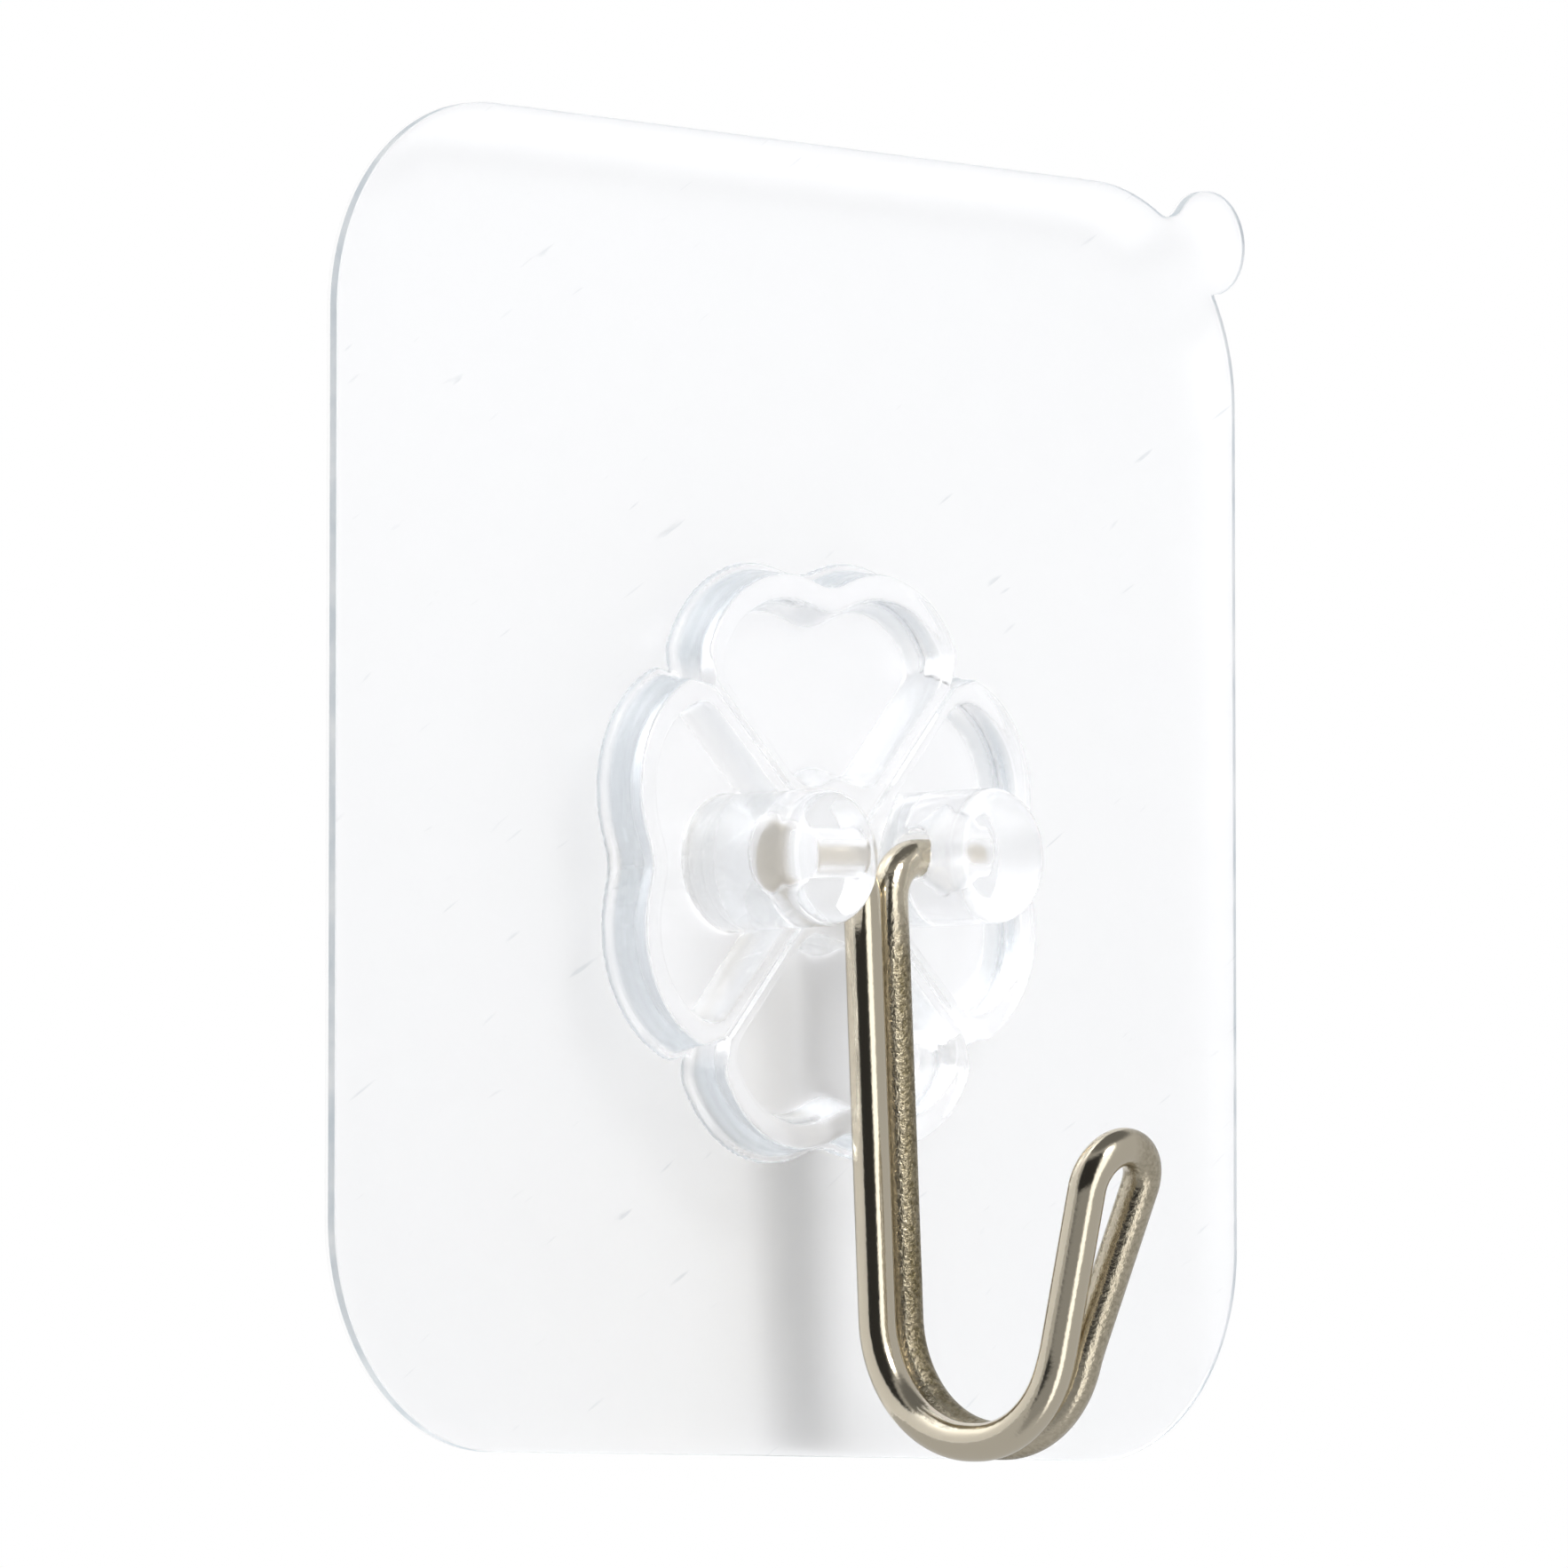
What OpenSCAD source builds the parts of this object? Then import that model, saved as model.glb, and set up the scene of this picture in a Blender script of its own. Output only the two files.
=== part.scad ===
// Clear adhesive wall hook: a stick-on sheet with a moulded clover base and a swinging wire hook.
// The wall is the plane y = 0, the front faces -Y and +Z is up. The origin is the middle of the back.

/* [Sheet] */
// Width of the sheet
sheet_w = 60; // [50:1:80]
// Height of the sheet
sheet_h = 60; // [54:1:80]
// Thickness of the clear sheet
sheet_t = 0.5; // [0.3:0.1:1]
// Radius of the sheet's corners
corner_r = 10; // [8:0.5:14]
// Thickness of the adhesive coat on the back
adhesive_t = 0.2; // [0.1:0.05:0.5]

/* [Pull tab] */
// Radius of the pull tab at the top right corner
tab_r = 2.5; // [2:0.1:3.5]
// How far the tab's centre stands out past the corner's arc
tab_out = 1.3; // [0.8:0.1:1.8]
// Direction of the tab from the centre of the corner, in degrees above the horizontal
tab_angle = 43; // [38:1:52]
// Radius of the hollow where the top edge runs into the tab
tab_fillet = 1.3; // [0.8:0.1:1.8]

/* [Clover base] */
// Height of the base's centre above the middle of the sheet
base_z = -3; // [-8:0.5:4]
// How far the base is turned on the sheet, in degrees
base_turn = 3; // [0:0.5:5]
// Thickness of the clear cement under the base
bond_t = 0.1; // [0.05:0.05:0.3]
// How far the cement stays inside the base's edge
bond_inset = 0.5; // [0.2:0.1:1]
// Height of the base's rim above the cement
rim_h = 2.3; // [1.8:0.1:3]
// Width of the rim round each leaf
rim_w = 1.1; // [0.8:0.1:1.4]
// Thickness of the floor inside the leaves
floor_t = 0.5; // [0.4:0.1:1]
// Distance of each lobe's centre from the middle of the base
lobe_c = 8.1; // [7.8:0.1:9]
// Radius of each lobe at the rim
lobe_r = 5.55; // [5:0.05:6]
// How far the foot of the base spreads past the rim
flare = 0.65; // [0.3:0.05:0.7]
// Radius of the hollow between the two lobes of a leaf
notch_r = 0.9; // [0.8:0.1:1.2]
// Width of the bar between two leaves
spoke_w = 1.4; // [1.2:0.1:1.8]
// Width of the V groove along each bar
groove_w = 0.55; // [0.3:0.05:0.8]
// Width of the V cut where a bar meets the edge
cut_w = 1.2; // [0.8:0.1:1.6]
// Depth of the V cut where a bar meets the edge
cut_depth = 1; // [0.6:0.1:1.4]

/* [Posts] */
// Distance between the centres of the two posts
post_gap = 11.2; // [10.4:0.1:13]
// Radius of a post
post_r = 3.1; // [2.8:0.1:3.4]
// Height of a post above the leaf floor
post_h = 6.75; // [6:0.05:8]
// Radius of the rounded edge at the end of a post
post_edge_r = 0.9; // [0.4:0.1:1.4]
// Height of the pivot above the leaf floor
pivot_h = 3.75; // [3:0.05:5]

/* [Wire hook] */
// Diameter of the wire
wire_d = 1.75; // [1.4:0.05:2]
// How much larger the pivot holes are than the wire, on the radius
pivot_clearance = 0.25; // [0.15:0.05:0.4]
// Running gap under the wire where it rests at the bottom of its holes
seat_gap = 0.03; // [0.02:0.01:0.06]
// Length of each wire end inside its post
leg_in = 3.1; // [2.6:0.1:4.6]
// Gap between a wire end and the bottom of its hole
leg_end_gap = 0.3; // [0.2:0.05:0.5]
// Gap between the two strands where they lie side by side
strand_gap = 0.06; // [0.02:0.02:0.2]
// How much thinner the wire is round a bend, on the radius
bend_thin = 0.01; // [0.01:0.005:0.03]
// Bend radius at the top of each strand, at the middle of the wire
top_bend_r = 1.9; // [1.5:0.1:2]
// Distance from the pivot down to the start of the main bend
shank_l = 20.85; // [18:0.1:26]
// Bend radius on the wall side of the main bend
back_bend_r = 5.6; // [5:0.05:8]
// Length of the short straight between two bends that follow each other
bend_flat = 0.3; // [0.2:0.05:0.6]
// Bend radius on the front side of the main bend
front_bend_r = 5.05; // [4:0.05:7]
// How far the front arm leans out, in degrees
arm_lean = 21.3; // [10:0.1:30]
// Length of the straight part of the front arm
arm_l = 7.4; // [5:0.05:14]
// How much each strand opens along the front arm, in degrees
arm_open = 6.3; // [3:0.1:8]
// Bend radius where a strand starts to open
open_bend_r = 8; // [4:0.5:14]

/* [Hidden] */
$fn = 96;

past = 1;                 // how far a cut runs past the face it leaves
blend = 0.02;             // how far a hollow's circle cuts into the arcs that it joins
lap = 0.05;               // how far a straight of the wire runs into the bends beside it
sheet_front = adhesive_t + sheet_t;
base_back = sheet_front + bond_t;
wire_r = wire_d / 2;
strand_x = wire_r + strand_gap / 2;
lobes = 8;
lobe_step = 360 / lobes;
leaves = 4;
leaf_step = 360 / leaves;

// Pull tab: its own circle and the hollow that is tangent to it and to the corner's arc
corner_c = [sheet_w / 2 - corner_r, sheet_h / 2 - corner_r];
tab_c = corner_c + (corner_r + tab_out) * [cos(tab_angle), sin(tab_angle)];
hollow_c = meeting_point(corner_c, corner_r + tab_fillet, tab_c, tab_r + tab_fillet);

// Clover outline: the two lobes of the leaf on the +X side and the hollow between them
lobe_x = lobe_c * cos(lobe_step / 2);
lobe_y = lobe_c * sin(lobe_step / 2);
notch_x = lobe_x + sqrt(pow(lobe_r + notch_r, 2) - pow(lobe_y, 2));
cusp_r = lobe_x + sqrt(pow(lobe_r, 2) - pow(lobe_y, 2));

// Posts and pivot
post_x = post_gap / 2;
post_face_x = post_x - post_r;
bore_r = wire_r + pivot_clearance;
bore_rise = pivot_clearance - seat_gap;
bore_end_x = post_face_x + leg_in + leg_end_gap;
leg_end_x = post_face_x + leg_in;
pivot_front = base_back + floor_t + pivot_h;

// Front arm of the hook, in its side view: x to the front and y up from the pivot
bend_low = -shank_l - back_bend_r;
front_bend_c = [back_bend_r + bend_flat, bend_low + front_bend_r];
front_bend_angle = 90 - arm_lean;
arm_foot = front_bend_c + front_bend_r * [cos(arm_lean), -sin(arm_lean)];
open_end = [
    strand_x + open_bend_r * (1 - cos(arm_open)),
    bend_flat + open_bend_r * sin(arm_open)
];
arm_end = open_end + arm_l * [sin(arm_open), cos(arm_open)];
loop_r = arm_end[0] / cos(arm_open);
loop_y = arm_end[1] + loop_r * sin(arm_open);

// The point to the left of the line from a to b that lies ra from a and rb from b
function meeting_point(a, ra, b, rb) =
    let (
        line = b - a,
        length = norm(line),
        along = (pow(length, 2) + pow(ra, 2) - pow(rb, 2)) / (2 * length),
        side = sqrt(pow(ra, 2) - pow(along, 2)),
        dir = line / length
    )
    a + along * dir + side * [-dir[1], dir[0]];

// Turns a flat outline, drawn with x to the right and y up, into a layer in front of the wall
module layer(back, thickness) {
    translate([0, -back, 0])
        rotate([90, 0, 0])
            linear_extrude(thickness)
                children();
}

// Puts a piece drawn with x right, y up and z to the front at the base's place on the sheet
module on_base(back) {
    translate([0, -back, base_z])
        rotate([0, -base_turn, 0])
            rotate([90, 0, 0])
                children();
}

module sheet_outline() {
    difference() {
        union() {
            square([sheet_w - 2 * corner_r, sheet_h], center = true);
            square([sheet_w, sheet_h - 2 * corner_r], center = true);
            for (sx = [-1, 1], sy = [-1, 1])
                translate([sx * corner_c[0], sy * corner_c[1]])
                    circle(corner_r);
            translate(tab_c)
                circle(tab_r);
            polygon([corner_c, tab_c, hollow_c]);
        }
        translate(hollow_c)
            circle(tab_fillet + blend);
    }
}

module carrier_sheet() {
    color("aliceblue")
        layer(adhesive_t, sheet_t)
            sheet_outline();
}

module adhesive_layer() {
    color("ghostwhite")
        layer(0, adhesive_t)
            sheet_outline();
}

// Outline of the clover, moved inwards by inset
module clover_outline(inset) {
    for (i = [0:lobes - 1])
        rotate((i + 0.5) * lobe_step)
            translate([lobe_c, 0])
                circle(lobe_r - inset);
    circle(lobe_c);
}

module bond_layer() {
    color("whitesmoke")
        on_base(sheet_front)
            linear_extrude(bond_t)
                clover_outline(bond_inset - flare);
}

// The middle of the leaf on the +X side, out to the hollow between its lobes
module leaf_middle() {
    polygon([[0, 0], [lobe_x, -lobe_y], [notch_x, 0], [lobe_x, lobe_y]]);
}

// Flared body of the base
module clover_body() {
    for (i = [0:lobes - 1])
        rotate((i + 0.5) * lobe_step)
            translate([lobe_c, 0, 0])
                cylinder(h = rim_h, r1 = lobe_r + flare, r2 = lobe_r);
    cylinder(h = rim_h, r = lobe_c);
    for (i = [0:leaves - 1])
        rotate(i * leaf_step)
            linear_extrude(rim_h)
                difference() {
                    leaf_middle();
                    translate([notch_x, 0])
                        circle(notch_r + blend);
                }
}

// Hollow of one leaf, between the rim and the two bars beside it
module leaf_pocket() {
    bar_x = spoke_w / sqrt(2);
    reach = lobe_c + lobe_r;
    translate([0, 0, floor_t])
        linear_extrude(rim_h - floor_t + past)
            difference() {
                intersection() {
                    union() {
                        for (side = [-1, 1])
                            translate([lobe_x, side * lobe_y])
                                circle(lobe_r - rim_w);
                        leaf_middle();
                    }
                    polygon([[bar_x, 0], [bar_x + reach, -reach], [bar_x + reach, reach]]);
                }
                translate([notch_x, 0])
                    circle(notch_r + rim_w + blend);
            }
}

// V groove along one bar, and the V cut where the bar meets the edge
module spoke_groove() {
    groove_side = groove_w / sqrt(2);
    translate([0, 0, rim_h])
        rotate([45, 0, 0])
            translate([0, -groove_side / 2, -groove_side / 2])
                cube([cusp_r + past, groove_side, groove_side]);
    cut_slope = cut_w / 2 / cut_depth;
    cut_tip = cusp_r - cut_depth;
    cut_far = cut_depth + flare + past;
    translate([0, 0, -past])
        linear_extrude(rim_h + 2 * past)
            polygon([
                [cut_tip, 0],
                [cut_tip + cut_far, -cut_far * cut_slope],
                [cut_tip + cut_far, cut_far * cut_slope]
            ]);
}

module post() {
    end_h = floor_t + post_h;
    flat_r = post_r - post_edge_r;
    rotate_extrude() {
        square([post_r, end_h - post_edge_r]);
        square([flat_r, end_h]);
        translate([flat_r, end_h - post_edge_r])
            circle(post_edge_r);
    }
}

module pivot_bore() {
    translate([0, bore_rise, floor_t + pivot_h])
        rotate([0, 90, 0])
            cylinder(h = bore_end_x, r = bore_r);
}

module hook_base() {
    color("lightsteelblue")
        on_base(base_back)
            difference() {
                union() {
                    difference() {
                        clover_body();
                        for (i = [0:leaves - 1])
                            rotate(i * leaf_step)
                                leaf_pocket();
                        for (i = [0:leaves - 1])
                            rotate((i + 0.5) * leaf_step)
                                spoke_groove();
                    }
                    for (side = [0, 1])
                        mirror([side, 0, 0])
                            translate([post_x, 0, 0])
                                post();
                }
                for (side = [0, 1])
                    mirror([side, 0, 0])
                        pivot_bore();
            }
}

// Arc of wire about +Z: from angle start, turning through sweep, bend radius r
module wire_arc(r, start, sweep) {
    rotate(start)
        rotate_extrude(angle = sweep)
            translate([r, 0])
                circle(wire_r - bend_thin);
}

// Straight of wire up +Z that runs into the bends at its two ends
module wire_bar(length, end_lap = lap) {
    translate([0, 0, -lap])
        cylinder(h = length + lap + end_lap, r = wire_r);
}

// One strand, drawn with x right, y up and z to the front of the pivot, on the +X side
module strand() {
    leg_x = strand_x + top_bend_r;
    translate([leg_x, 0, 0])
        rotate([0, 90, 0])
            wire_bar(leg_end_x - leg_x, end_lap = 0);
    translate([leg_x, -top_bend_r, 0])
        wire_arc(top_bend_r, 90, 90);
    translate([strand_x, -top_bend_r, 0])
        rotate([90, 0, 0])
            wire_bar(shank_l - top_bend_r);
    translate([strand_x, -shank_l, back_bend_r])
        rotate([0, -90, 0])
            wire_arc(back_bend_r, 180, 90);
    translate([strand_x, bend_low, back_bend_r])
        wire_bar(bend_flat);
    translate([strand_x, front_bend_c[1], front_bend_c[0]])
        rotate([0, -90, 0])
            wire_arc(front_bend_r, 270, front_bend_angle);
    in_arm_plane() {
        translate([strand_x, 0, 0])
            rotate([-90, 0, 0])
                wire_bar(bend_flat);
        translate([strand_x + open_bend_r, bend_flat, 0])
            wire_arc(open_bend_r, 180 - arm_open, arm_open);
        translate(open_end)
            rotate([-90, 0, -arm_open])
                wire_bar(arm_l);
    }
}

// The plane of the front arm, with x right and y up the arm from its foot
module in_arm_plane() {
    translate([0, arm_foot[1], arm_foot[0]])
        rotate([arm_lean, 0, 0])
            children();
}

module wire_hook() {
    color("silver")
        on_base(pivot_front) {
            for (side = [0, 1])
                mirror([side, 0, 0])
                    strand();
            in_arm_plane()
                translate([0, loop_y, 0])
                    wire_arc(loop_r, -arm_open, 180 + 2 * arm_open);
        }
}

carrier_sheet();
adhesive_layer();
bond_layer();
hook_base();
wire_hook();
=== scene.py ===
import bpy
import bmesh
import math
from mathutils import Matrix, Vector


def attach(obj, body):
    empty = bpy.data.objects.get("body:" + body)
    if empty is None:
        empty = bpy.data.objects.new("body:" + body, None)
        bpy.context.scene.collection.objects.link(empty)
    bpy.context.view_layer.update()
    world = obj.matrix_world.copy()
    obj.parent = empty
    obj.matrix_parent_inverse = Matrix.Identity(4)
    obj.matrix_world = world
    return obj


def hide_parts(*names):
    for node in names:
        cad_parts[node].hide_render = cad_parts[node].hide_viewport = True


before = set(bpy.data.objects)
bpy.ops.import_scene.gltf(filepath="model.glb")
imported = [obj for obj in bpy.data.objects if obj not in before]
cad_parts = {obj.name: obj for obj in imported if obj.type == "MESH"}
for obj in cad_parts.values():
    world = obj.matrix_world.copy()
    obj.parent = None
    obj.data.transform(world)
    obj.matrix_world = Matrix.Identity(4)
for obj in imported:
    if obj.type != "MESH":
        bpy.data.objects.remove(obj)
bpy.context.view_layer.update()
scene = bpy.context.scene
mm = 0.001


def hexColour(code):
    # sRGB hex to the linear values that the shaders read
    parts = [int(code[i:i + 2], 16) / 255 for i in (1, 3, 5)]
    return [c / 12.92 if c <= 0.04045 else ((c + 0.055) / 1.055) ** 2.4 for c in parts] + [1.0]


def addNode(tree, kind, inputs=None, **settings):
    # one node with its settings; an input is a value, or the socket that feeds it
    node = tree.nodes.new(kind)
    for name, value in settings.items():
        setattr(node, name, value)
    for name, value in (inputs or {}).items():
        if isinstance(value, bpy.types.NodeSocket):
            tree.links.new(value, node.inputs[name])
        else:
            node.inputs[name].default_value = value
    return node


def newMaterial(name):
    material = bpy.data.materials.new(name)
    material.use_nodes = True
    material.node_tree.nodes.clear()
    return material


def lampsPass(tree, surface, colour):
    # light that falls on what lies behind a clear sheet goes straight through it
    clear = addNode(tree, "ShaderNodeBsdfTransparent", {"Color": colour}).outputs[0]
    ray = addNode(tree, "ShaderNodeLightPath").outputs
    for kind in ("Is Diffuse Ray", "Is Shadow Ray"):
        surface = addNode(tree, "ShaderNodeMixShader", {0: ray[kind], 1: surface, 2: clear}).outputs[0]
    return surface


def finishPiece(name, mesh, material, body, nodes, angle=None):
    mesh.name = name
    mesh.materials.clear()
    mesh.materials.append(material)
    piece = bpy.data.objects.new(name, mesh)
    scene.collection.objects.link(piece)
    if angle is None:
        mesh.shade_smooth()
    else:
        mesh.set_sharp_from_angle(angle=math.radians(angle))
    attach(piece, body)
    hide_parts(*nodes)
    print(name, len(mesh.vertices), "vertices,", len(mesh.polygons), "faces")


def nodesToMesh(source, tree, values):
    # runs a geometry tree on an object and keeps the result as a plain mesh
    modifier = source.modifiers.new(tree.name, "NODES")
    modifier.node_group = tree
    for item in tree.interface.items_tree:
        if item.item_type == "SOCKET" and item.in_out == "INPUT" and item.name in values:
            modifier[item.identifier] = values[item.name]
    shown = source.evaluated_get(bpy.context.evaluated_depsgraph_get())
    mesh = bpy.data.meshes.new_from_object(shown)
    source.modifiers.remove(modifier)
    bpy.data.objects.remove(source)
    return mesh


# where the base sits on the sheet: x right, y up and z to the front, in mm
basePlace = {"back": 0.8, "height": -3.0, "turn": 3.0}


def onBase(back):
    # from the base's own axes in mm to the row frame in metres
    place = Matrix.Translation((0, -back * mm, basePlace["height"] * mm))
    turn = Matrix.Rotation(math.radians(-basePlace["turn"]), 4, "Y")
    face = Matrix.Rotation(math.radians(90), 4, "X")
    return place @ turn @ face @ Matrix.Scale(mm, 4)


# camera, at the photograph's angle
view = {
    "azimuth": -46.871, "elevation": -3.937, "distance": 554.646,
    "right": -0.407, "up": 0.624, "focal": 13700, "pixels": 1766, "sensor": 36,
}
az, el = math.radians(view["azimuth"]), math.radians(view["elevation"])
backward = Vector((math.sin(az) * math.cos(el), -math.cos(az) * math.cos(el), math.sin(el)))
rightward = Vector((math.cos(az), math.sin(az), 0))
upward = backward.cross(rightward)
camera = bpy.data.objects.new("camera", bpy.data.cameras.new("camera"))
scene.collection.objects.link(camera)
camera.data.sensor_width = view["sensor"]
camera.data.lens = view["focal"] / view["pixels"] * view["sensor"]
camera.data.clip_start = 0.01
camera.data.clip_end = 20
axes = Matrix((rightward, upward, backward)).transposed().to_4x4()
spot = (backward * view["distance"] + rightward * view["right"] + upward * view["up"]) * mm
camera.matrix_world = Matrix.Translation(spot) @ axes
scene.camera = camera
print("camera ready")

# clear PVC sheet: rolled film, glossy, a little blue where light runs along inside it
clearSheet = newMaterial("clear_pvc_sheet")
tree = clearSheet.node_tree
place = addNode(tree, "ShaderNodeTexCoord").outputs["Object"]
wave = addNode(tree, "ShaderNodeTexNoise", {"Vector": place, "Scale": 1 / (9 * mm), "Detail": 1.0})
ripple = addNode(tree, "ShaderNodeBump", {
    "Height": wave.outputs["Fac"], "Strength": 0.15, "Distance": 0.05 * mm,
})
# short rub marks, few and aslant, 3 mm long and 0.4 mm wide
turned = addNode(tree, "ShaderNodeMapping", {
    "Vector": place, "Rotation": (0, math.radians(-32), 0), "Scale": (3 * mm, 3 * mm, 0.4 * mm),
}, vector_type="TEXTURE")
rubbed = addNode(tree, "ShaderNodeTexNoise", {
    "Vector": turned.outputs[0], "Scale": 1.0, "Detail": 1.0, "Distortion": 0.3,
})
marks = addNode(tree, "ShaderNodeMapRange", {
    "Value": rubbed.outputs["Fac"], "From Min": 0.74, "From Max": 0.82,
}).outputs["Result"]
film = addNode(tree, "ShaderNodeMix", {
    0: marks, 6: hexColour("#FDFDFE"), 7: hexColour("#DDE0E3"),
}, data_type="RGBA").outputs[2]
sheetShader = addNode(tree, "ShaderNodeBsdfPrincipled", {
    "Base Color": film, "Roughness": 0.28, "IOR": 1.53,
    "Transmission Weight": 1.0, "Normal": ripple.outputs["Normal"],
})
sheetTint = addNode(tree, "ShaderNodeVolumeAbsorption", {"Color": hexColour("#DCE6F0"), "Density": 15.0})
addNode(tree, "ShaderNodeOutputMaterial", {
    "Surface": lampsPass(tree, sheetShader.outputs["BSDF"], hexColour("#F9F9F9")),
    "Volume": sheetTint.outputs["Volume"],
})

# die-cut edge of the sheet: sheared, so matt, and lit by what runs along inside the film
cutEdge = newMaterial("die_cut_pvc_edge")
tree = cutEdge.node_tree
place = addNode(tree, "ShaderNodeTexCoord").outputs["Object"]
nicks = addNode(tree, "ShaderNodeTexNoise", {"Vector": place, "Scale": 1 / (2.5 * mm), "Detail": 4.0})
tone = addNode(tree, "ShaderNodeValToRGB", {"Fac": nicks.outputs["Fac"]})
tone.color_ramp.elements[0].position, tone.color_ramp.elements[0].color = 0.35, hexColour("#DCE4EA")
tone.color_ramp.elements[1].position, tone.color_ramp.elements[1].color = 0.65, hexColour("#F6F9FB")
sheared = addNode(tree, "ShaderNodeBsdfPrincipled", {
    "Base Color": tone.outputs["Color"], "Roughness": 0.45, "IOR": 1.53,
})
lit = addNode(tree, "ShaderNodeBsdfTranslucent", {"Color": tone.outputs["Color"]})
addNode(tree, "ShaderNodeOutputMaterial", {"Surface": addNode(tree, "ShaderNodeMixShader", {
    0: 0.65, 1: sheared.outputs[0], 2: lit.outputs[0],
}).outputs[0]})

# acrylic adhesive: a clear tacky coat, slightly cloudy in patches
clearAdhesive = newMaterial("clear_acrylic_adhesive")
tree = clearAdhesive.node_tree
place = addNode(tree, "ShaderNodeTexCoord").outputs["Object"]
patch = addNode(tree, "ShaderNodeTexNoise", {"Vector": place, "Scale": 1 / (7 * mm), "Detail": 3.0})
haze = addNode(tree, "ShaderNodeMapRange", {
    "Value": patch.outputs["Fac"], "To Min": 0.2, "To Max": 0.5,
}).outputs["Result"]
addNode(tree, "ShaderNodeOutputMaterial", {"Surface": addNode(tree, "ShaderNodeBsdfPrincipled", {
    "Base Color": hexColour("#F8FAFB"), "Roughness": haze, "IOR": 1.47, "Alpha": 0.05,
}).outputs["BSDF"]})

# solvent cement: a clear film that can hardly be seen, glossy in some places and dull in others
clearCement = newMaterial("clear_solvent_cement")
tree = clearCement.node_tree
place = addNode(tree, "ShaderNodeTexCoord").outputs["Object"]
flow = addNode(tree, "ShaderNodeTexNoise", {"Vector": place, "Scale": 1 / (3 * mm), "Detail": 2.0})
wet = addNode(tree, "ShaderNodeMapRange", {
    "Value": flow.outputs["Fac"], "To Min": 0.1, "To Max": 0.35,
}).outputs["Result"]
addNode(tree, "ShaderNodeOutputMaterial", {"Surface": addNode(tree, "ShaderNodeBsdfPrincipled", {
    "Base Color": hexColour("#F8FAFB"), "Roughness": wet, "IOR": 1.5, "Alpha": 0.03,
}).outputs["BSDF"]})

# clear polystyrene moulding: glossy, a trace of milk and of blue in its thick walls, and a painted
# grey-blue shade on its upright outer walls
clearMoulding = newMaterial("clear_polystyrene")
tree = clearMoulding.node_tree
place = addNode(tree, "ShaderNodeTexCoord").outputs["Object"]
# how far a point is from the middle of the clover, and how upright its wall is: together they mark the
# upright outer walls, which get a painted shade
flat = addNode(tree, "ShaderNodeVectorMath", {
    0: place, 1: (1, 0, 1), 2: (0, 0, -basePlace["height"] * mm),
}, operation="MULTIPLY_ADD").outputs["Vector"]
reach = addNode(tree, "ShaderNodeVectorMath", {0: flat}, operation="LENGTH").outputs["Value"]
wall = addNode(tree, "ShaderNodeNewGeometry").outputs
facing = addNode(tree, "ShaderNodeMath", {
    0: addNode(tree, "ShaderNodeSeparateXYZ", {0: wall["Normal"]}).outputs["Y"],
}, operation="ABSOLUTE").outputs[0]
upright = addNode(tree, "ShaderNodeMapRange", {
    "Value": facing, "From Min": 0.3, "From Max": 0.75, "To Min": 1.0, "To Max": 0.0,
}).outputs["Result"]
paintedWallShade = addNode(tree, "ShaderNodeMapRange", {
    "Value": reach, "From Min": 11.6 * mm, "From Max": 12.6 * mm, "To Min": 0.0, "To Max": upright,
}).outputs["Result"]
# painted shade: a darker grey-blue base colour on the upright outer walls, near white elsewhere
depth = addNode(tree, "ShaderNodeMix", {
    0: paintedWallShade, 6: hexColour("#FEFEFF"), 7: hexColour("#D9E0E6"),
}, data_type="RGBA").outputs[2]
mouldShader = addNode(tree, "ShaderNodeBsdfPrincipled", {
    "Base Color": depth, "Roughness": 0.1, "IOR": 1.53, "Transmission Weight": 0.75,
})
# the milk is counted where light enters, and from inside a wall is clear but hazy
innerWall = addNode(tree, "ShaderNodeBsdfPrincipled", {
    "Base Color": depth, "Roughness": 0.3, "IOR": 1.53, "Transmission Weight": 1.0,
})
bothSides = addNode(tree, "ShaderNodeMixShader", {
    0: wall["Backfacing"], 1: mouldShader.outputs["BSDF"], 2: innerWall.outputs["BSDF"],
}).outputs[0]
mouldTint = addNode(tree, "ShaderNodeVolumeAbsorption", {"Color": hexColour("#D6DCE2"), "Density": 18.0})
# lamps lose some light where they meet a wall at a slant, most of all at the rim
slant = addNode(tree, "ShaderNodeLayerWeight", {"Blend": 0.5}).outputs["Facing"]
rim = addNode(tree, "ShaderNodeMapRange", {
    "Value": reach, "From Min": 11.0 * mm, "From Max": 12.2 * mm, "To Min": 0.08, "To Max": 0.5,
}).outputs["Result"]
loss = addNode(tree, "ShaderNodeMapRange", {
    "Value": slant, "From Min": 0.3, "From Max": 0.95, "To Min": 0.01, "To Max": rim,
}).outputs["Result"]
shade = addNode(tree, "ShaderNodeMath", {0: 1.0, 1: loss}, operation="SUBTRACT").outputs[0]
addNode(tree, "ShaderNodeOutputMaterial", {
    "Surface": lampsPass(tree, bothSides, shade), "Volume": mouldTint.outputs["Volume"],
})
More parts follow.
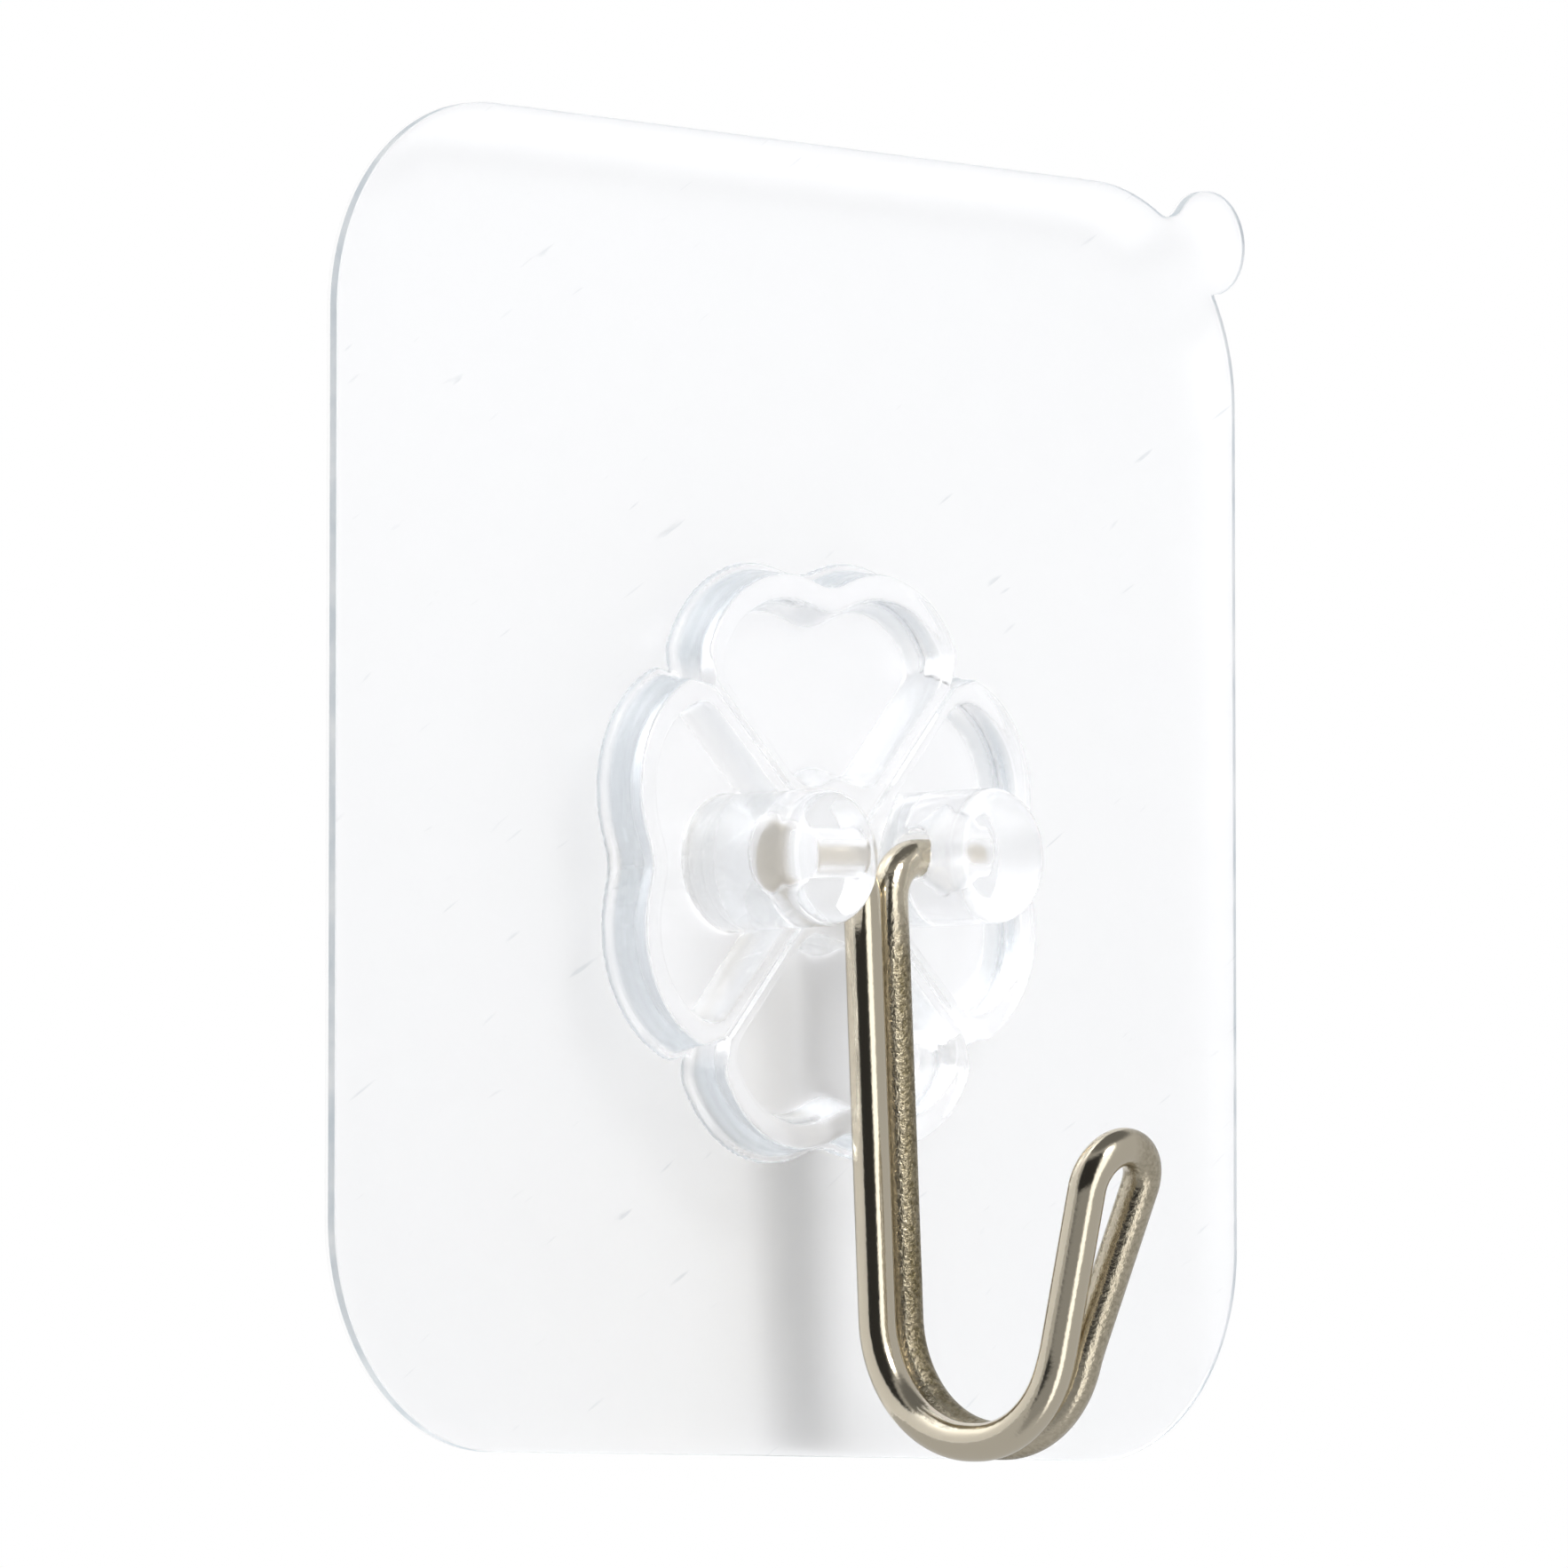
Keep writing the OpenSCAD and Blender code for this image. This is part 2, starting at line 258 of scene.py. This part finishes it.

# nickel-plated steel wire: drawn, bent and barrel plated, so warm grey, with a sandy grain down one strand
# whose darker brown is partly worn plating and partly painted shade
nickelWire = newMaterial("nickel_plated_steel")
tree = nickelWire.node_tree
place = addNode(tree, "ShaderNodeTexCoord").outputs["Object"]
grain = addNode(tree, "ShaderNodeTexNoise", {
    "Vector": place, "Scale": 1 / (0.22 * mm), "Detail": 3.0, "Roughness": 0.6,
}).outputs["Fac"]
cloud = addNode(tree, "ShaderNodeTexNoise", {"Vector": place, "Scale": 1 / (5 * mm), "Detail": 2.0})
turn = math.radians(basePlace["turn"])
strand = addNode(tree, "ShaderNodeVectorMath", {
    0: place, 1: (math.cos(turn), 0, math.sin(turn)),
}, operation="DOT_PRODUCT")
grainAndShade = addNode(tree, "ShaderNodeMapRange", {
    "Value": strand.outputs["Value"], "From Min": -0.3 * mm, "From Max": 0.5 * mm,
}).outputs["Result"]
worn = addNode(tree, "ShaderNodeMapRange", {
    "Value": cloud.outputs["Fac"], "From Min": 0.3, "From Max": 0.6, "To Min": 0.7,
}).outputs["Result"]
spread = addNode(tree, "ShaderNodeSeparateXYZ", {0: place}).outputs
behind = addNode(tree, "ShaderNodeMapRange", {
    "Value": spread["Y"], "From Min": -14 * mm, "From Max": -9 * mm, "To Min": 0.3,
}).outputs["Result"]
below = addNode(tree, "ShaderNodeMapRange", {
    "Value": spread["Z"], "From Min": -5 * mm, "From Max": -8 * mm, "To Min": 0.1,
}).outputs["Result"]
for share in (worn, behind, below):
    grainAndShade = addNode(tree, "ShaderNodeMath", {0: grainAndShade, 1: share}, operation="MULTIPLY").outputs[0]
dull = addNode(tree, "ShaderNodeMapRange", {"Value": grainAndShade, "To Min": 0.13, "To Max": 0.4}).outputs[0]
rise = addNode(tree, "ShaderNodeMapRange", {"Value": grainAndShade, "To Min": 0.05, "To Max": 0.8}).outputs[0]
pits = addNode(tree, "ShaderNodeBump", {"Height": grain, "Strength": rise, "Distance": 0.2 * mm})
speck = addNode(tree, "ShaderNodeMapRange", {
    "Value": grain, "From Min": 0.35, "From Max": 0.6, "To Min": grainAndShade, "To Max": 0.0,
}).outputs["Result"]
# darker brown where the grain runs: partly worn plating, partly painted shade on the strand that the other
# strand shades
plate = addNode(tree, "ShaderNodeMix", {
    0: grainAndShade, 6: hexColour("#CCC3B0"), 7: hexColour("#8F846A"),
}, data_type="RGBA").outputs[2]
plate = addNode(tree, "ShaderNodeMix", {
    0: speck, 6: plate, 7: hexColour("#62593F"),
}, data_type="RGBA").outputs[2]
addNode(tree, "ShaderNodeOutputMaterial", {"Surface": addNode(tree, "ShaderNodeBsdfPrincipled", {
    "Base Color": plate, "Metallic": 1.0, "Roughness": dull, "Normal": pits.outputs["Normal"],
}).outputs["BSDF"]})
print("materials ready")

# sheet outline: rounded square with the pull tab at the top right corner, in mm
sheetCut = {
    "width": 60, "height": 60, "corner": 10, "front": 0.7, "back": 0.2, "edge": 0.05, "coatEdge": 0.03,
    "tab": 2.495, "tabOut": 1.3, "tabAngle": 43, "hollow": 1.3, "step": 1.5,
}


def arcPoints(centre, radius, start, end, step):
    count = max(2, round(abs(end - start) / step))
    turns = [math.radians(start + (end - start) * i / count) for i in range(count + 1)]
    return [centre + radius * Vector((math.cos(t), math.sin(t))) for t in turns]


def bearing(a, b):
    return math.degrees(math.atan2(b.y - a.y, b.x - a.x))


def sheetOutline(inset):
    s = sheetCut
    r = s["corner"] - inset
    cx, cy = s["width"] / 2 - s["corner"], s["height"] / 2 - s["corner"]
    corner = Vector((cx, cy))
    lean = math.radians(s["tabAngle"])
    reach = s["corner"] + s["tabOut"]
    tab = corner + reach * Vector((math.cos(lean), math.sin(lean)))
    tabR = s["tab"] - inset
    hollowR = s["hollow"] + inset
    # the tab meets the corner's arc in a sharp nick below and in a hollow above
    nick = math.acos((r ** 2 + reach ** 2 - tabR ** 2) / (2 * r * reach))
    nickPoint = corner + r * Vector((math.cos(lean - nick), math.sin(lean - nick)))
    a, b = r + hollowR, tabR + hollowR
    along = (reach ** 2 + a ** 2 - b ** 2) / (2 * reach)
    side = math.sqrt(a ** 2 - along ** 2)
    way = (tab - corner) / reach
    hollow = corner + along * way + side * Vector((-way.y, way.x))
    step = s["step"]
    points = arcPoints(corner, r, 0, s["tabAngle"] - math.degrees(nick), step)
    points += arcPoints(tab, tabR, bearing(tab, nickPoint), bearing(tab, hollow), 4 * step)[1:]
    turnIn = bearing(hollow, tab) + 360
    points += arcPoints(hollow, hollowR, turnIn, bearing(hollow, corner) + 360, 4 * step)[1:]
    points += arcPoints(corner, r, bearing(corner, hollow), 90, step)[1:]
    for sx, sy, start in ((-1, 1, 90), (-1, -1, 180), (1, -1, 270)):
        points += arcPoints(Vector((sx * cx, sy * cy)), r, start, start + 90, step)
    return points


def sheetLayer(front, back, inset, edge):
    # closed layer between two depths in front of the wall, its cut edges slightly eased
    profile = [(back, inset + edge), (back + edge, inset), (front - edge, inset), (front, inset + edge)]
    form = bmesh.new()
    rings = []
    for depth, offset in profile:
        rings.append([form.verts.new((p.x * mm, -depth * mm, p.y * mm)) for p in sheetOutline(offset)])
    for low, high in zip(rings, rings[1:]):
        for i in range(len(low)):
            j = (i + 1) % len(low)
            form.faces.new((low[i], low[j], high[j], high[i]))
    form.faces.new(rings[0][::-1])
    form.faces.new(rings[-1])
    bmesh.ops.recalc_face_normals(form, faces=form.faces)
    mesh = bpy.data.meshes.new("layer")
    form.to_mesh(mesh)
    form.free()
    return mesh


airGap = 0.003    # hair gap that keeps two clear faces from lying in one plane
sheetMesh = sheetLayer(sheetCut["front"] - airGap, sheetCut["back"], 0, sheetCut["edge"])
finishPiece("sheet", sheetMesh, clearSheet, "pad", ["carrier_sheet"], angle=30)
sheetMesh.materials.append(cutEdge)
for face in sheetMesh.polygons:
    face.material_index = 0 if abs(face.normal.y) > 0.5 else 1
coatMesh = sheetLayer(sheetCut["back"] - airGap, 0, 0, sheetCut["coatEdge"])
finishPiece("adhesive", coatMesh, clearAdhesive, "pad", ["adhesive_layer"], angle=30)

# clover base: a field of distances in mm, in the base's own axes, meshed where it is zero
clover = {
    "Lobe Centre": 8.1, "Lobe Radius": 5.55, "Lean": 0.22,
    "Ledge": 0.06, "Ledge Height": 1.2, "Ledge Soft": 0.1,
    "Foot": 0.32, "Foot Height": 0.35, "Foot Soft": 0.2,
    "Rim Height": 2.3, "Rim Width": 1.1, "Floor": 0.5, "Bar Half": 0.7, "Groove Half": 0.27,
    "Cut Tip": 11.09, "Cut Slope": 0.6, "Leaf Slope": 0.3,
    "Post Place": 5.6, "Post Radius": 3.1, "Post Top": 7.25, "Post Round": 0.9,
    "Bore Radius": 1.125, "Bore End": 5.9, "Bore Up": 0.22, "Bore Front": 4.25,
    # how softly the forms run into each other
    "Notch Blend": 1.6, "Inner Blend": 3.0, "Corner Blend": 1.2, "Floor Blend": 0.7, "Leaf Blend": 0.6,
    "Edge Blend": 0.3, "Root Blend": 0.35, "Cut Blend": 0.2, "Groove Blend": 0.06, "Bore Blend": 0.1,
}


def cloverField():
    field = bpy.data.node_groups.new("cloverField", "GeometryNodeTree")
    field.interface.new_socket("Place", in_out="INPUT", socket_type="NodeSocketVector")
    for name in clover:
        field.interface.new_socket(name, in_out="INPUT", socket_type="NodeSocketFloat")
    field.interface.new_socket("Distance", in_out="OUTPUT", socket_type="NodeSocketFloat")
    size = field.nodes.new("NodeGroupInput").outputs

    def sums(operation, *inputs):
        node = addNode(field, "ShaderNodeMath", dict(enumerate(inputs)), operation=operation)
        return node.outputs[0]

    def span(x, y, z=0.0):
        vector = addNode(field, "ShaderNodeCombineXYZ", {0: x, 1: y, 2: z}).outputs[0]
        return addNode(field, "ShaderNodeVectorMath", {0: vector}, operation="LENGTH").outputs["Value"]

    x, y, h = addNode(field, "ShaderNodeSeparateXYZ", {0: size["Place"]}).outputs
    ax, ay = sums("ABSOLUTE", x), sums("ABSOLUTE", y)
    u, v = sums("MAXIMUM", ax, ay), sums("MINIMUM", ax, ay)    # one eighth of the clover stands for all
    half = math.radians(22.5)
    lobeX = sums("MULTIPLY", size["Lobe Centre"], math.cos(half))
    lobeY = sums("MULTIPLY", size["Lobe Centre"], math.sin(half))
    du = sums("SUBTRACT", u, lobeX)
    lobe = sums("SUBTRACT", span(du, sums("SUBTRACT", v, lobeY)), size["Lobe Radius"])
    twin = sums("SUBTRACT", span(du, sums("ADD", v, lobeY)), size["Lobe Radius"])
    outline = sums("SMOOTH_MIN", lobe, twin, size["Notch Blend"])
    outline = sums("MINIMUM", outline, sums("SUBTRACT", span(u, v), size["Lobe Centre"]))
    along = sums("MULTIPLY", sums("ADD", u, v), math.sqrt(0.5))
    across = sums("MULTIPLY", sums("SUBTRACT", u, v), math.sqrt(0.5))
    past = sums("SUBTRACT", along, size["Cut Tip"])
    cut = sums("SUBTRACT", sums("MULTIPLY", past, size["Cut Slope"]), across)
    cut = sums("DIVIDE", cut, math.hypot(1, clover["Cut Slope"]))
    edged = sums("SMOOTH_MAX", outline, cut, size["Cut Blend"])
    # the wall leans out to a line half way down, and ends in a thin foot
    low = sums("SUBTRACT", 1.0, sums("DIVIDE", h, size["Rim Height"]))
    wall = sums("SUBTRACT", edged, sums("MULTIPLY", size["Lean"], low))
    for step in ("Ledge", "Foot"):
        place, soft = size[step + " Height"], size[step + " Soft"]
        out = addNode(field, "ShaderNodeMapRange", {
            "Value": h, "From Min": sums("SUBTRACT", place, soft), "From Max": sums("ADD", place, soft),
            "To Min": size[step], "To Max": 0.0,
        }, interpolation_type="SMOOTHSTEP").outputs["Result"]
        wall = sums("SUBTRACT", wall, out)
    body = sums("SMOOTH_MAX", wall, sums("SUBTRACT", h, size["Rim Height"]), size["Edge Blend"])
    # leaves hollowed out between the rim and the bars
    inner = sums("ADD", sums("SMOOTH_MIN", lobe, twin, size["Inner Blend"]), size["Rim Width"])
    leaf = sums("SMOOTH_MAX", inner, sums("SUBTRACT", size["Bar Half"], across), size["Corner Blend"])
    sunk = sums("SUBTRACT", size["Rim Height"], h)
    leaf = sums("ADD", leaf, sums("MULTIPLY", sunk, size["Leaf Slope"]))
    hollow = sums("SMOOTH_MAX", leaf, sums("SUBTRACT", size["Floor"], h), size["Floor Blend"])
    body = sums("SMOOTH_MAX", body, sums("MULTIPLY", hollow, -1.0), size["Leaf Blend"])
    # a V groove runs along the top of each bar
    above = sums("SUBTRACT", h, size["Rim Height"])
    groove = sums("ADD", sums("SUBTRACT", size["Groove Half"], across), above)
    body = sums("SMOOTH_MAX", body, sums("MULTIPLY", groove, math.sqrt(0.5)), size["Groove Blend"])
    # posts, then their pivot holes
    radial = span(sums("SUBTRACT", ax, size["Post Place"]), y)
    out = sums("SUBTRACT", sums("ADD", radial, size["Post Round"]), size["Post Radius"])
    over = sums("SUBTRACT", sums("ADD", h, size["Post Round"]), size["Post Top"])
    post = span(sums("MAXIMUM", out, 0.0), sums("MAXIMUM", over, 0.0))
    post = sums("SUBTRACT", post, size["Post Round"])
    body = sums("SMOOTH_MIN", body, post, size["Root Blend"])
    bore = span(sums("SUBTRACT", y, size["Bore Up"]), sums("SUBTRACT", h, size["Bore Front"]))
    bore = sums("SUBTRACT", bore, size["Bore Radius"])
    bore = sums("SMOOTH_MAX", bore, sums("SUBTRACT", ax, size["Bore End"]), size["Bore Blend"])
    body = sums("SMOOTH_MAX", body, sums("MULTIPLY", bore, -1.0), size["Bore Blend"])
    body = sums("MAXIMUM", body, sums("MULTIPLY", h, -1.0))    # flat back
    addNode(field, "NodeGroupOutput", {"Distance": body})
    return field


def cloverTree():
    field = cloverField()
    tree = bpy.data.node_groups.new("cloverBase", "GeometryNodeTree")
    for name in clover:
        tree.interface.new_socket(name, in_out="INPUT", socket_type="NodeSocketFloat")
    tree.interface.new_socket("Material", in_out="INPUT", socket_type="NodeSocketMaterial")
    tree.interface.new_socket("Geometry", in_out="OUTPUT", socket_type="NodeSocketGeometry")
    size = tree.nodes.new("NodeGroupInput").outputs
    sizes = {name: size[name] for name in clover}

    def distance(place):
        node = tree.nodes.new("GeometryNodeGroup")
        node.node_tree = field
        for name, value in dict(sizes, Place=place).items():
            tree.links.new(value, node.inputs[name])
        return node.outputs["Distance"]

    spot = addNode(tree, "GeometryNodeInputPosition").outputs[0]
    here = distance(spot)
    dense = addNode(tree, "ShaderNodeMath", {0: here, 1: -1.0}, operation="MULTIPLY").outputs[0]
    cell, low, high = 0.16, (-14.8, -14.8, -0.4), (14.8, 14.8, 9.2)
    counts = [round((b - a) / cell) for a, b in zip(low, high)]
    block = addNode(tree, "GeometryNodeVolumeCube", {
        "Density": dense, "Background": -1.0, "Min": low, "Max": high,
        "Resolution X": counts[0], "Resolution Y": counts[1], "Resolution Z": counts[2],
    })
    shape = addNode(tree, "GeometryNodeVolumeToMesh", {
        "Volume": block.outputs[0], "Threshold": 0.0, "Adaptivity": 0.0,
    }).outputs[0]
    # each point moves along the slope of the field onto the true surface
    probe = 0.01
    slopes = []
    for axis in range(3):
        step = [probe if i == axis else 0.0 for i in range(3)]
        ahead = addNode(tree, "ShaderNodeVectorMath", {0: spot, 1: step}, operation="ADD").outputs[0]
        rise = addNode(tree, "ShaderNodeMath", {0: distance(ahead), 1: here}, operation="SUBTRACT")
        slopes.append(rise.outputs[0])
    slope = addNode(tree, "ShaderNodeCombineXYZ", dict(enumerate(slopes))).outputs[0]
    steep = addNode(tree, "ShaderNodeVectorMath", {0: slope}, operation="LENGTH").outputs["Value"]
    steep = addNode(tree, "ShaderNodeMath", {0: steep, 1: 0.5 * probe}, operation="MAXIMUM").outputs[0]
    back = addNode(tree, "ShaderNodeMath", {0: here, 1: steep}, operation="DIVIDE").outputs[0]
    back = addNode(tree, "ShaderNodeMath", {0: back, 1: -probe}, operation="MULTIPLY").outputs[0]
    slope = addNode(tree, "ShaderNodeVectorMath", {0: slope}, operation="NORMALIZE").outputs[0]
    move = addNode(tree, "ShaderNodeVectorMath", {0: slope, "Scale": back}, operation="SCALE").outputs[0]
    for _ in range(2):
        shape = addNode(tree, "GeometryNodeSetPosition", {"Geometry": shape, "Offset": move}).outputs[0]
    shape = addNode(tree, "GeometryNodeRealizeInstances", {"Geometry": shape}).outputs[0]
    done = addNode(tree, "GeometryNodeSetMaterial", {"Geometry": shape, "Material": size["Material"]})
    addNode(tree, "NodeGroupOutput", {"Geometry": done.outputs[0]})
    return tree


seed = bpy.data.objects.new("cloverSeed", bpy.data.meshes.new("cloverSeed"))
scene.collection.objects.link(seed)
baseMesh = nodesToMesh(seed, cloverTree(), dict(clover, Material=clearMoulding))
baseMesh.transform(onBase(basePlace["back"]))
finishPiece("base", baseMesh, clearMoulding, "pad", ["hook_base"])

# wire hook: one length of wire swept along its path, in mm from the pivot
wire = {
    "radius": 0.864, "gap": 0.082, "pivotFront": 5.05, "legEnd": 5.6, "topBend": 1.9, "shank": 20.85,
    "backBend": 5.6, "flat": 0.3, "frontBend": 5.05, "lean": 21.3, "openBend": 8, "open": 6.3, "arm": 7.4,
    "ease": 0.2, "sides": 40,
}


def strandPath():
    # right half of the wire, from the end of its leg to the middle of the loop
    # x right, y up, z to the front; the points beside the bends keep the straights' normals true
    w = wire
    x0 = w["radius"] + w["gap"] / 2
    r = w["topBend"]
    ease = w["ease"]
    points = [Vector((w["legEnd"], 0, 0)), Vector((x0 + r + ease, 0, 0))]
    points += [Vector((p.x, p.y, 0)) for p in arcPoints(Vector((x0 + r, -r)), r, 90, 180, 4)]
    points += [Vector((x0, -r - ease, 0)), Vector((x0, ease - w["shank"], 0))]
    side = arcPoints(Vector((w["backBend"], -w["shank"])), w["backBend"], 180, 270, 3)
    low = -w["shank"] - w["backBend"]
    centre = Vector((w["backBend"] + w["flat"], low + w["frontBend"]))
    side += arcPoints(centre, w["frontBend"], 270, 360 - w["lean"], 3)
    points += [Vector((x0, p.y, p.x)) for p in side]
    foot = points[-1].copy()
    lean = math.radians(w["lean"])
    armUp = Vector((0, math.cos(lean), math.sin(lean)))
    spread = math.radians(w["open"])
    flat = arcPoints(Vector((x0 + w["openBend"], w["flat"])), w["openBend"], 180, 180 - w["open"], 0.7)
    along = Vector((math.sin(spread), math.cos(spread)))
    end = flat[-1] + w["arm"] * along
    flat += [flat[-1] + ease * along, end - ease * along]
    loopR = end.x / math.cos(spread)
    loopY = end.y + loopR * math.sin(spread)
    flat += arcPoints(Vector((0, loopY)), loopR, -w["open"], 90, 4)
    points += [Vector((p.x, 0, 0)) + foot * Vector((0, 1, 1)) + armUp * p.y for p in flat]
    return points


def wireTree():
    tree = bpy.data.node_groups.new("wireSweep", "GeometryNodeTree")
    tree.interface.new_socket("Geometry", in_out="INPUT", socket_type="NodeSocketGeometry")
    tree.interface.new_socket("Wire Radius", in_out="INPUT", socket_type="NodeSocketFloat")
    tree.interface.new_socket("Sides", in_out="INPUT", socket_type="NodeSocketInt")
    tree.interface.new_socket("Material", in_out="INPUT", socket_type="NodeSocketMaterial")
    tree.interface.new_socket("Geometry", in_out="OUTPUT", socket_type="NodeSocketGeometry")
    size = tree.nodes.new("NodeGroupInput").outputs
    ring = addNode(tree, "GeometryNodeCurvePrimitiveCircle", {
        "Resolution": size["Sides"], "Radius": size["Wire Radius"],
    })
    sweep = addNode(tree, "GeometryNodeCurveToMesh", {
        "Curve": size["Geometry"], "Profile Curve": ring.outputs["Curve"], "Fill Caps": True,
    })
    whole = addNode(tree, "GeometryNodeRealizeInstances", {"Geometry": sweep.outputs[0]})
    done = addNode(tree, "GeometryNodeSetMaterial", {
        "Geometry": whole.outputs[0], "Material": size["Material"],
    })
    addNode(tree, "NodeGroupOutput", {"Geometry": done.outputs[0]})
    return tree


half = strandPath()
path = half + [Vector((-p.x, p.y, p.z)) for p in half[-2::-1]]
line = bpy.data.curves.new("wirePath", "CURVE")
line.dimensions = "3D"
spline = line.splines.new("POLY")
spline.points.add(len(path) - 1)
for point, p in zip(spline.points, path):
    point.co = (*p, 1)
    point.radius = 1
wirePath = bpy.data.objects.new("wirePath", line)
scene.collection.objects.link(wirePath)
wireMesh = nodesToMesh(wirePath, wireTree(), {
    "Wire Radius": wire["radius"], "Sides": wire["sides"], "Material": nickelWire,
})
wireMesh.transform(onBase(wire["pivotFront"]))
finishPiece("wire", wireMesh, nickelWire, "hook", ["wire_hook"], angle=50)

# clear cement under the base stays the solid that it is
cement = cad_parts["bond_layer"]
cement.data.materials.clear()
cement.data.materials.append(clearCement)

# stage: white card just behind the sheet, pale floor below, soft studio light all round
stage = {"cardDepth": 2.5, "inset": 0.3, "floor": -45, "floorRadius": 120}


def stagePlane(name, corners, colour):
    mesh = bpy.data.meshes.new(name)
    mesh.from_pydata([[c * mm for c in p] for p in corners], [], [range(len(corners))])
    plane = bpy.data.objects.new(name, mesh)
    scene.collection.objects.link(plane)
    paper = newMaterial(name)
    tree = paper.node_tree
    matte = addNode(tree, "ShaderNodeBsdfDiffuse", {"Color": hexColour(colour)})
    away = addNode(tree, "ShaderNodeBsdfTransparent")
    behind = addNode(tree, "ShaderNodeNewGeometry").outputs["Backfacing"]
    mixed = addNode(tree, "ShaderNodeMixShader", {0: behind, 1: matte.outputs[0], 2: away.outputs[0]})
    addNode(tree, "ShaderNodeOutputMaterial", {"Surface": mixed.outputs[0]})
    mesh.materials.append(paper)
    return plane


# the card is cut to what the camera sees of it through the sheet
cardCut = []
for p in sheetOutline(stage["inset"]):
    point = Vector((p.x, -sheetCut["front"] / 2, p.y)) * mm
    sight = point - spot
    cardCut.append((spot + sight * ((stage["cardDepth"] * mm - spot.y) / sight.y)) / mm)
stagePlane("card", cardCut, "#FAFAFA")
floorRim = arcPoints(Vector((0, 0)), stage["floorRadius"], 0, 354, 6)
floor = stagePlane("floor", [(p.x, p.y, stage["floor"]) for p in floorRim], "#F0F0F0")
floor.visible_transmission = False    # clear plastic shows the white behind it, not the floor's grey
floor.visible_glossy = False

# studio: soft grey surroundings with a dim ceiling, a dark opening round the camera, a duller zone under it
# and a bright strip on its right
# angles are from the camera, positive to its right; low and high are the sines of the elevation
studio = {"level": 0.62, "soft": 5, "softHeight": 0.1}
zones = {
    "ceiling": {"level": 0.2, "left": -190, "right": 190, "low": 0.78, "high": 1.3},
    "below": {"level": 0.38, "left": -58, "right": 14, "low": -0.9, "high": -0.4},
    "opening": {"level": 0.04, "left": -62, "right": 16, "low": -0.42, "high": 0.68},
    "strip": {"level": 2.0, "left": 20, "right": 48, "low": -0.9, "high": 0.75},
}
world = bpy.data.worlds.new("studio")
world.use_nodes = True
scene.world = world
tree = world.node_tree
tree.nodes.clear()
way = addNode(tree, "ShaderNodeTexCoord").outputs["Generated"]
level = Vector((backward.x, backward.y, 0)).normalized()
toRight = addNode(tree, "ShaderNodeVectorMath", {0: way, 1: rightward}, operation="DOT_PRODUCT")
toBack = addNode(tree, "ShaderNodeVectorMath", {0: way, 1: level}, operation="DOT_PRODUCT")
heading = addNode(tree, "ShaderNodeMath", {
    0: toRight.outputs["Value"], 1: toBack.outputs["Value"],
}, operation="ARCTAN2").outputs[0]
height = addNode(tree, "ShaderNodeSeparateXYZ", {0: way}).outputs["Z"]
soft, softHeight = math.radians(studio["soft"]), studio["softHeight"]
glow = studio["level"]
for zone in zones.values():
    share = 1.0
    for value, edge, slope in (
        (heading, math.radians(zone["left"]), soft), (heading, math.radians(zone["right"]), -soft),
        (height, zone["low"], softHeight), (height, zone["high"], -softHeight),
    ):
        share = addNode(tree, "ShaderNodeMapRange", {
            "Value": value, "From Min": edge - slope, "From Max": edge + slope, "To Max": share,
        }, interpolation_type="SMOOTHSTEP").outputs["Result"]
    glow = addNode(tree, "ShaderNodeMapRange", {
        "Value": share, "To Min": glow, "To Max": zone["level"],
    }).outputs["Result"]
ray = addNode(tree, "ShaderNodeLightPath").outputs
# the camera sees plain white behind the object, also through its clear pieces
direct = addNode(tree, "ShaderNodeMath", {0: ray["Diffuse Depth"], 1: 0.5}, operation="LESS_THAN")
through = addNode(tree, "ShaderNodeMath", {
    0: ray["Is Transmission Ray"], 1: direct.outputs[0],
}, operation="MULTIPLY").outputs[0]
seen = addNode(tree, "ShaderNodeMath", {
    0: ray["Is Camera Ray"], 1: through,
}, operation="MAXIMUM").outputs[0]
light = addNode(tree, "ShaderNodeBackground", {"Color": hexColour("#FFFFFF"), "Strength": glow})
white = addNode(tree, "ShaderNodeBackground", {"Color": hexColour("#FFFFFF"), "Strength": 1.0})
mixed = addNode(tree, "ShaderNodeMixShader", {0: seen, 1: light.outputs[0], 2: white.outputs[0]})
addNode(tree, "ShaderNodeOutputWorld", {"Surface": mixed.outputs[0]})


def softbox(name, azimuth, elevation, distance, width, height, power):
    a, e = math.radians(azimuth), math.radians(elevation)
    way = Vector((math.sin(a) * math.cos(e), -math.cos(a) * math.cos(e), math.sin(e)))
    lamp = bpy.data.lights.new(name, "AREA")
    lamp.shape = "RECTANGLE"
    lamp.size, lamp.size_y, lamp.energy = width, height, power
    box = bpy.data.objects.new(name, lamp)
    box.location = way * distance
    box.rotation_mode = "QUATERNION"
    box.rotation_quaternion = (-way).to_track_quat("-Z", "Y")
    scene.collection.objects.link(box)


# key light from the front, above and a little to the left; sizes in metres, power in watts
keyLamp = {"azimuth": -14, "elevation": 32, "distance": 1.0, "width": 0.27, "height": 0.3, "power": 5.2}
softbox("key", **keyLamp)
scene.view_settings.view_transform = "Standard"
scene.cycles.max_bounces = 48           # light runs a long way inside clear walls
scene.cycles.transmission_bounces = 48
scene.cycles.glossy_bounces = 48
scene.cycles.transparent_max_bounces = 24
scene.cycles.blur_glossy = 0.0
print("stage ready")
